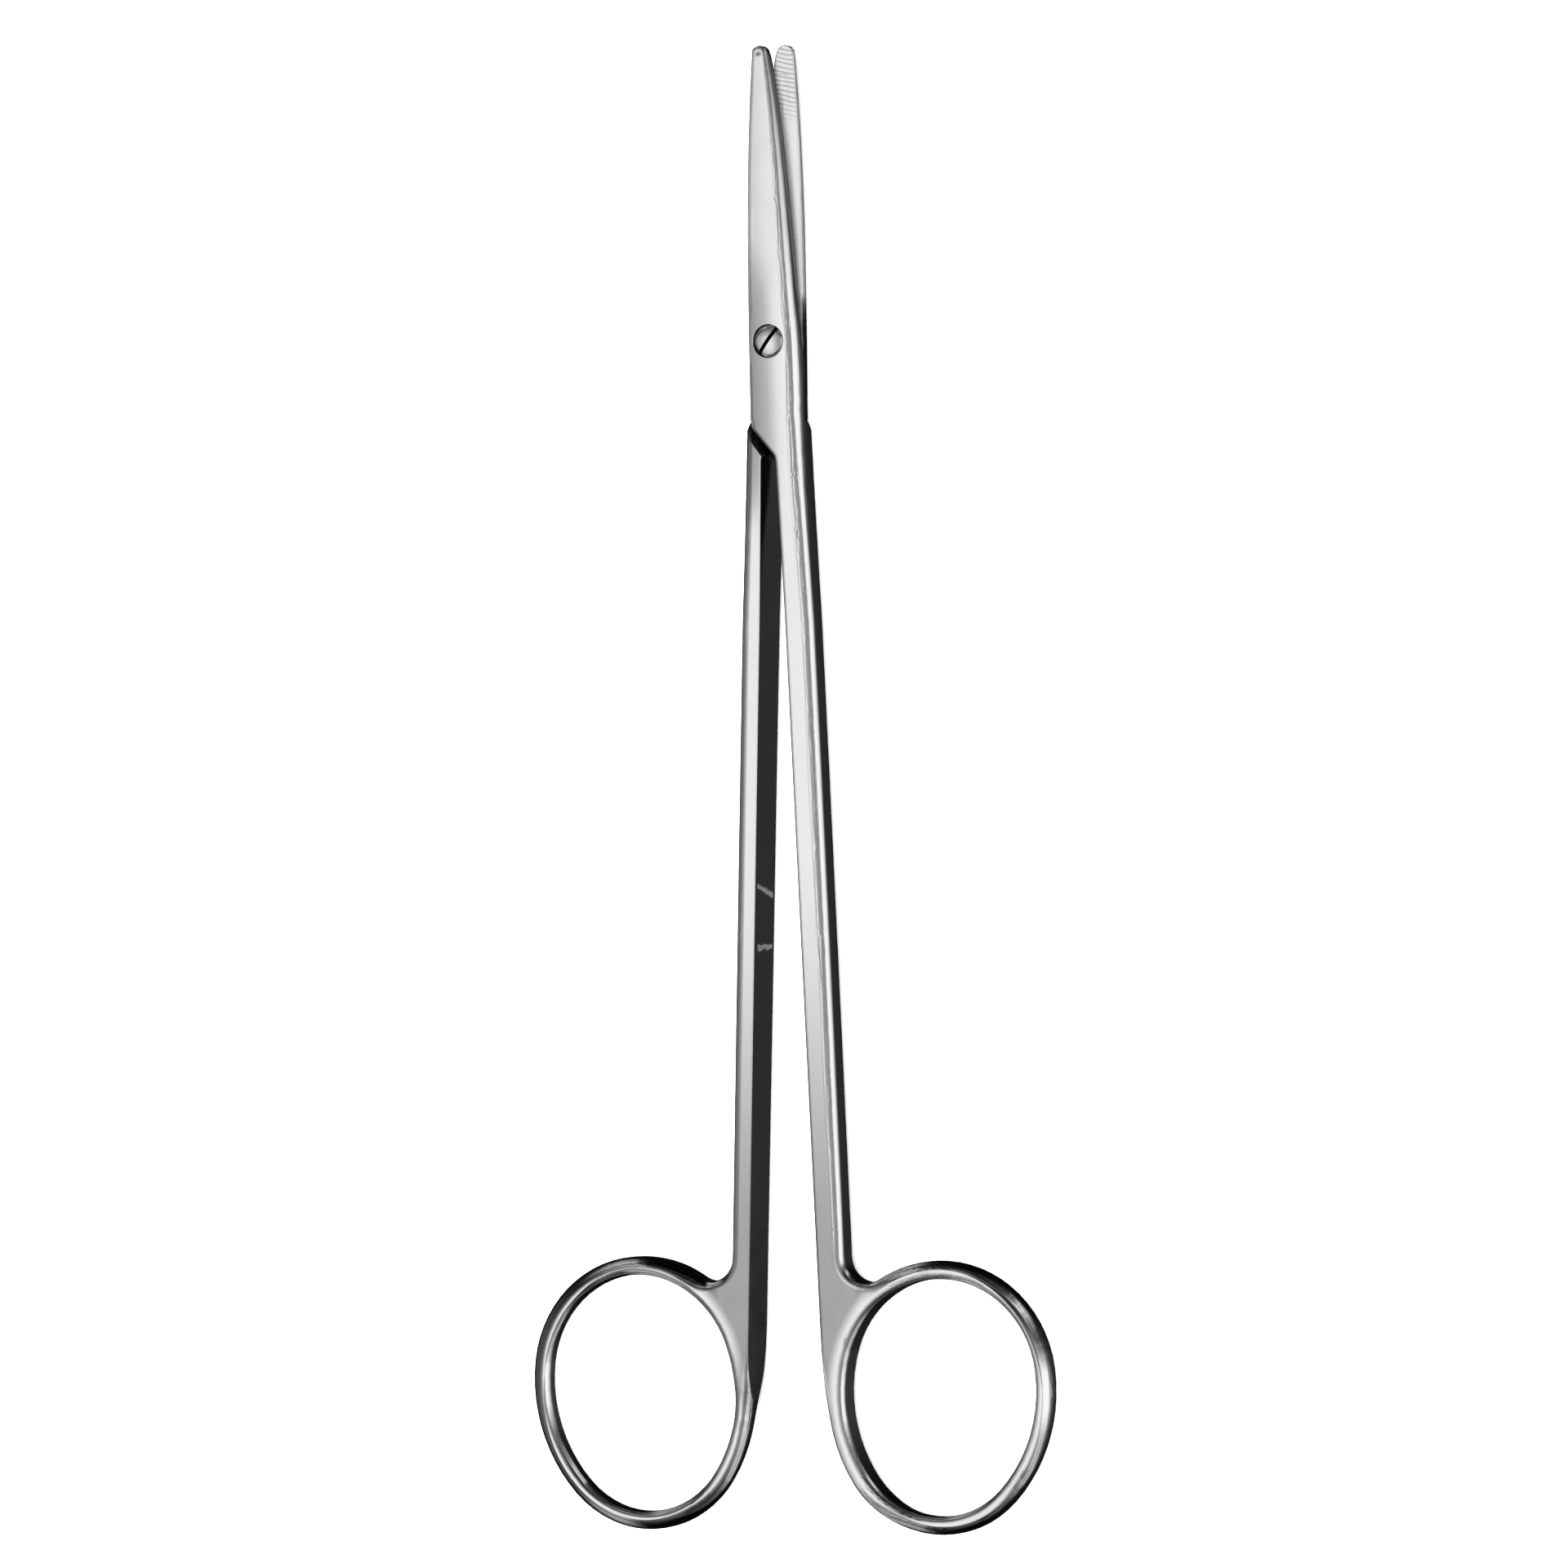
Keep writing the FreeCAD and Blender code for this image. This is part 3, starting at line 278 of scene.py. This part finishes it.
class ForgedSteel:
    """Polished steel of one half. What its methods return are outputs in the material's node tree."""

    def __init__(self, half):
        self.half = half
        self.material, self.shader = new_material(half.material)
        shader = self.shader
        self.place = shader.node("ShaderNodeTexCoord").outputs["Object"]
        self.x, self.y, self.z = shader.split(self.place)
        self.level, self.wall = self.slopes()
        self.ground = self.ground_face()
        self.radius, self.outward = self.ring_place()
        self.ring = shader.between(self.radius, *RING_BAR, 1.0, 0.0)
        self.scratched = self.scratches() if half.scratches else 0.0
        shader.steel(self.colour(), self.metallic(), self.roughness(), self.normal())

    def slopes(self):
        """Two masks: 1 where the surface lies flat, and 1 where it stands up as a wall."""
        shader = self.shader
        facing = shader.split(shader.node("ShaderNodeTexCoord").outputs["Normal"])[2]
        facing = shader.math("ABSOLUTE", facing)
        return shader.between(facing, *LEVEL_FACING), shader.between(facing, *WALL_FACING, 1.0, 0.0)

    def ground_face(self):
        """1 on the flat face where the blades meet, which is ground and not polished."""
        shader = self.shader
        away = shader.math("ABSOLUTE", shader.math("SUBTRACT", self.z, MATING_PLANE))
        return shader.product(self.level, shader.between(away, *GROUND_DEPTH, 1.0, 0.0))

    def ring_place(self):
        """Two places on the ring, from the middle of its hole: how far out, and how far from the shank.

        The hole's edge is about 1 out, and on the side of the shank the second is negative.
        """
        shader = self.shader
        middle = (self.half.side * RING_MIDDLE[0], RING_MIDDLE[1], 0.0)
        shape = (1 / RING_HALF_HOLE[0], 1 / RING_HALF_HOLE[1], 0.0)
        moved = shader.vector("MULTIPLY", shader.vector("SUBTRACT", self.place, middle), shape)
        return shader.length(moved), shader.product(shader.split(moved)[0], self.half.side)

    def scratches(self):
        shader = self.shader
        wobble = shader.product(shader.noise(self.place, SCRATCH_WOBBLE_SCALE), SCRATCH_WOBBLE)
        marks = []
        for scratch in self.half.scratches:
            line = shader.math("MULTIPLY_ADD", self.z, scratch.slant, self.y)
            line = shader.math("ADD", line, wobble)
            away = shader.math("ABSOLUTE", shader.math("SUBTRACT", line, scratch.along))
            marks.append(shader.product(
                shader.between(away, *SCRATCH_WIDTH, 1.0, 0.0),
                shader.between(self.z, scratch.low, scratch.low + SCRATCH_END),
                shader.between(self.z, scratch.high - SCRATCH_END, scratch.high, 1.0, 0.0),
            ))
        return shader.greatest(*marks)

    def crown_height(self):
        """The joint face is crowned across its width, and less so along the blade."""
        shader = self.shader
        across = shader.math("MULTIPLY_ADD", self.y, self.half.side * math.tan(REST_TURN), self.x)
        across = shader.math("SUBTRACT", across, CROWN_MIDDLE)
        rise = shader.between(self.y, *CROWN_RISE)
        ebb = shader.between(self.y, *CROWN_EBB, 1.0, CROWN_ON_BLADE)
        return shader.product(across, across, CROWN_BEND, rise, ebb)

    def wave_height(self):
        """Slow waves of the polished surface, highest on the ring."""
        shader = self.shader
        waves = shader.noise(self.place, WAVE_SCALE, detail=1.0)
        return shader.product(waves, shader.between(self.y, *WAVE_EBB, *WAVE_HEIGHTS))

    def facet_height(self):
        """The ring's outer side falls away as a ground facet, apart from beside the shank."""
        shader = self.shader
        past = shader.product(shader.past(self.radius, FACET_START), RING_MEAN_RADIUS)
        slope = shader.math("MULTIPLY_ADD", past, FACET_BEND, FACET_SLOPE)
        return shader.product(slope, past, self.ring, shader.between(self.outward, *FACET_SIDE))

    def above_fall(self):
        """How far up the front half lies past the height from which it bends over."""
        start = self.shader.between(self.y, *FRONT_BLADE_REACH, *FRONT_FALL_START)
        return self.shader.past(self.z, start)

    def blade_height(self):
        """The front half bends over towards its top, and the back half's blade leans."""
        shader = self.shader
        if self.half.side > 0:
            high = self.above_fall()
            return shader.product(high, high, FRONT_FALL_BEND)
        return shader.product(self.z, shader.between(self.y, *BLADE_START, 0.0, BACK_BLADE_LEAN))

    def grinding_shade(self):
        """Slanting dark lines on the ground face, strong only near the tip."""
        shader = self.shader
        slanted_y = shader.math("MULTIPLY_ADD", self.x, GRINDING_SLANT, self.y)
        slanted = shader.node("ShaderNodeCombineXYZ", X=self.x, Y=slanted_y).outputs[0]
        wave = shader.node("ShaderNodeTexWave", {"bands_direction": "Y"}, Vector=slanted,
                           Scale=GRINDING_SCALE, Distortion=2.4, Detail=2.0, Detail_Scale=0.7)
        lines = shader.between(wave.outputs["Fac"], *GRINDING_DARK)
        coarse = shader.between(self.y, *GRINDING_REACH, GRINDING_FAINT, 1.0)
        return shader.product(lines, self.ground, coarse, GRINDING_SHADE)

    def painted_wall_shade(self):
        """Painted shade on the walls, except round the finger hole, on scratches and high up on the front
        half.
        """
        shader = self.shader
        along = shader.between(self.y, *BLADE_START, self.half.shank_wall_painted_shade, self.half.blade_wall_painted_shade)
        dark = shader.product(self.wall, shader.between(self.radius, *WALL_FROM_HOLE), along)
        if self.half.side > 0:
            low = shader.between(self.above_fall(), *BLADE_WALL_HEIGHT, 1.0, 0.0)
            dark = shader.product(dark, low)
        return shader.math("SUBTRACT", dark, self.scratched, clamp=True)

    def colour(self):
        """Polished steel, darker on grinding lines and the ground face, and with painted shade in the joint
        gap, on the web and on the walls.
        """
        shader = self.shader
        # Painted shadow in the gap behind the joint
        gap_shadow = shader.product(self.ground, shader.between(self.y, *GAP_SHADOW_END, GAP_PAINTED_SHADOW, 0.0))
        # Painted shade on the flat top towards the web
        painted_web_shade = shader.product(self.level, shader.between(self.y, *WEB_REACH, WEB_PAINTED_SHADE, 0.0),
                             shader.between(self.radius, *WEB_FROM_HOLE))
        ground = shader.product(self.ground, GROUND_SHADE)
        shade = shader.greatest(self.grinding_shade(), painted_web_shade, gap_shadow, ground, self.painted_wall_shade())
        return shader.ramp(shade, [(0.0, POLISHED), (1.0, SHADED)])

    def metallic(self):
        shader = self.shader
        on_blade = shader.product(self.ground, shader.between(self.y, *GROUND_BLADE))
        metallic = shader.math("SUBTRACT", 1.0, shader.product(on_blade, GROUND_LESS_METALLIC))
        scratched = shader.product(self.scratched, SCRATCH_LESS_METALLIC)
        return shader.math("SUBTRACT", metallic, scratched, clamp=True)

    def roughness(self):
        shader = self.shader
        cloud = shader.noise(self.place, CLOUD_SCALE)
        rough = shader.math("MULTIPLY_ADD", cloud, CLOUD_ROUGHNESS, POLISHED_ROUGHNESS)
        rough = shader.math("MULTIPLY_ADD", self.ground, GROUND_ROUGHNESS, rough)
        return shader.math("MULTIPLY_ADD", self.scratched, SCRATCH_ROUGHNESS, rough)

    def edge_radius(self):
        """One radius on both rings, each half's own elsewhere, and nearly sharp round the pivot."""
        shader = self.shader
        edge = shader.math("MULTIPLY_ADD", self.ring, RING_EDGE - self.half.edge, self.half.edge)
        from_pivot = shader.length(self.place)
        return shader.product(edge, shader.between(from_pivot, *PIVOT_REACH, PIVOT_EDGE_SHARE, 1.0))

    def normal(self):
        """Rounded edges, then the forms that light alone shows, then fine lines along the steel."""
        shader = self.shader
        height = shader.math("ADD", self.crown_height(), self.wave_height())
        height = shader.math("ADD", height, self.facet_height())
        height = shader.math("ADD", height, self.blade_height())
        curved = shader.bump(height, shader.rounded(self.edge_radius(), samples=8))
        lines = shader.noise(self.place, 1.0, detail=3.0, stretch=LINE_STRETCH)
        return shader.bump(lines, curved, LINE_STRENGTH, LINE_DEPTH)


def turned_steel(name):
    """The screw: its head rounds off, with painted shade on its rim and in its slot, and fine turning lines
    round the middle.
    """
    material, shader = new_material(name)
    place = shader.node("ShaderNodeTexCoord").outputs["Object"]
    x, y, z = shader.split(place)
    flat = shader.node("ShaderNodeCombineXYZ", X=shader.math("SUBTRACT", x, DOME_MIDDLE[0]),
                       Y=shader.math("SUBTRACT", y, DOME_MIDDLE[1])).outputs[0]
    radius = shader.length(flat)
    past = shader.past(radius, DOME_START)
    # Painted shade in the slot
    slot = shader.product(shader.between(z, *SLOT_TOP, 1.0, 0.0), shader.between(z, *SLOT_BOTTOM))
    # Painted shade on the rim
    painted_rim_shade = shader.between(radius, *SHADED_RIM, 0.0, RIM_PAINTED_SHADE)
    colour = shader.ramp(shader.greatest(slot, painted_rim_shade), [(0.0, SCREW_POLISHED), (1.0, SCREW_SHADED)])
    rough = shader.math("MULTIPLY_ADD", slot, SLOT_ROUGHNESS, SCREW_ROUGHNESS)
    rings = shader.node("ShaderNodeTexWave", {"wave_type": "RINGS", "rings_direction": "Z"}, Vector=place,
                        Scale=TURNING_SCALE, Distortion=0.6, Detail=1.0).outputs["Fac"]
    domed = shader.bump(shader.product(past, past, DOME_BEND), shader.rounded(SCREW_EDGE, samples=6))
    shader.steel(colour, 1.0, rough, shader.bump(rings, domed, TURNING_STRENGTH, LINE_DEPTH))
    return material


def dress(node_name, material):
    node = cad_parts[node_name]
    for slot in node.material_slots:
        slot.material = material


def make_floor():
    mesh = bpy.data.meshes.new("floor")
    side = FLOOR_SIZE / 2
    outline = [(-side, -side, 0), (side, -side, 0), (side, side, 0), (-side, side, 0)]
    mesh.from_pydata(outline, [], [(0, 1, 2, 3)])
    floor = bpy.data.objects.new("floor", mesh)
    bpy.context.scene.collection.objects.link(floor)
    low = min(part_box(name)[0].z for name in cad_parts)
    floor.location.z = low - FLOOR_GAP
    material, shader = new_material("floor_white")
    surface = shader.node("ShaderNodeBsdfDiffuse", Color=FLOOR_COLOUR)
    shader.node("ShaderNodeOutputMaterial", Surface=surface.outputs[0])
    mesh.materials.append(material)
    floor.visible_glossy = False


def make_floor_light():
    """A broad lamp overhead that lights the floor and isn't seen in the steel."""
    data = bpy.data.lights.new("floor_light", "AREA")
    data.shape = "SQUARE"
    data.size = FLOOR_LIGHT_SIZE
    data.energy = FLOOR_LIGHT_POWER
    lamp = bpy.data.objects.new("floor_light", data)
    lamp.location = FLOOR_LIGHT_PLACE
    lamp.visible_glossy = False
    bpy.context.scene.collection.objects.link(lamp)


def studio_corners(shader, x, y, z):
    """Grey where the studio's ends meet its sides, low down and underneath."""
    endways = shader.math("ABSOLUTE", y)
    sideways = shader.math("ABSOLUTE", x)
    low = shader.product(shader.between(z, *LOW_FROM), shader.between(z, *LOW_TO, 1.0, 0.0))
    under = shader.product(shader.between(z, *UNDER_FROM, 1.0, 0.0),
                           shader.between(endways, *UNDER_TO, 1.0, 0.0))
    return shader.product(shader.math("ADD", low, under),
                          shader.between(endways, *CORNER_ENDWAYS, 0.0, CORNER_GREY),
                          shader.between(sideways, *CORNER_SIDEWAYS))


def make_studio():
    """What the steel mirrors: a broad pale screen overhead on the left, a gap, and a strip on the right.

    Grey corners lighten the steel where it is seen from the sides and from behind.
    """
    world = bpy.data.worlds.new("studio")
    world.use_nodes = True
    bpy.context.scene.world = world
    shader = Shader(world.node_tree)
    x, y, z = shader.split(shader.node("ShaderNodeTexCoord").outputs["Generated"])
    turn = shader.math("MULTIPLY_ADD", shader.math("ARCTAN2", x, z), 0.5 / math.pi, 0.5)
    tone = shader.ramp(turn, [(degrees / 360 + 0.5, value) for degrees, value in STUDIO_TONES])
    along = shader.math("MULTIPLY_ADD", y, 0.5, 0.5)
    left = shader.ramp(along, [(share / 2 + 0.5, value) for share, value in STUDIO_ENDS])
    light = shader.math("MULTIPLY_ADD", tone, left, studio_corners(shader, x, y, z))
    strength = shader.product(light, STUDIO_STRENGTH)
    background = shader.node("ShaderNodeBackground", Color=(1.0, 1.0, 1.0, 1.0), Strength=strength)
    shader.node("ShaderNodeOutputWorld", Surface=background.outputs[0])


def make_camera():
    data = bpy.data.cameras.new("camera")
    data.lens = LENS
    data.sensor_width = SENSOR_WIDTH
    data.clip_start = CLIP_NEAR
    data.clip_end = CLIP_FAR
    camera = bpy.data.objects.new("camera", data)
    bpy.context.scene.collection.objects.link(camera)
    back = Vector((math.sin(VIEW_YAW), 0, math.cos(VIEW_YAW)))
    right = Vector((math.cos(VIEW_YAW), 0, -math.sin(VIEW_YAW)))
    up = Vector((0, math.cos(VIEW_ROLL), 0)) + right * math.sin(VIEW_ROLL)
    right = up.cross(back)
    turned = Matrix((right, up, back)).transposed().to_4x4()
    camera.matrix_world = Matrix.Translation(VIEW_TARGET + back * VIEW_DISTANCE) @ turned
    bpy.context.scene.camera = camera


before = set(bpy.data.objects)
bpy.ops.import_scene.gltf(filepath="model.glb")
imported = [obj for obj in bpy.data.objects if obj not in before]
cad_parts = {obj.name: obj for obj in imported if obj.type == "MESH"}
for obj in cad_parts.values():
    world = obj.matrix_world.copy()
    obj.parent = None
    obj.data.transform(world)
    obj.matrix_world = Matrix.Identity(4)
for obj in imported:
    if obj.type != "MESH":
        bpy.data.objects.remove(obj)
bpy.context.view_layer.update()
bpy.context.scene.view_settings.view_transform = "Standard"
for node_name, half in HALVES.items():
    dress(node_name, ForgedSteel(half).material)
dress("pivot_screw", turned_steel("screw_steel"))
make_floor()
make_floor_light()
make_studio()
make_camera()
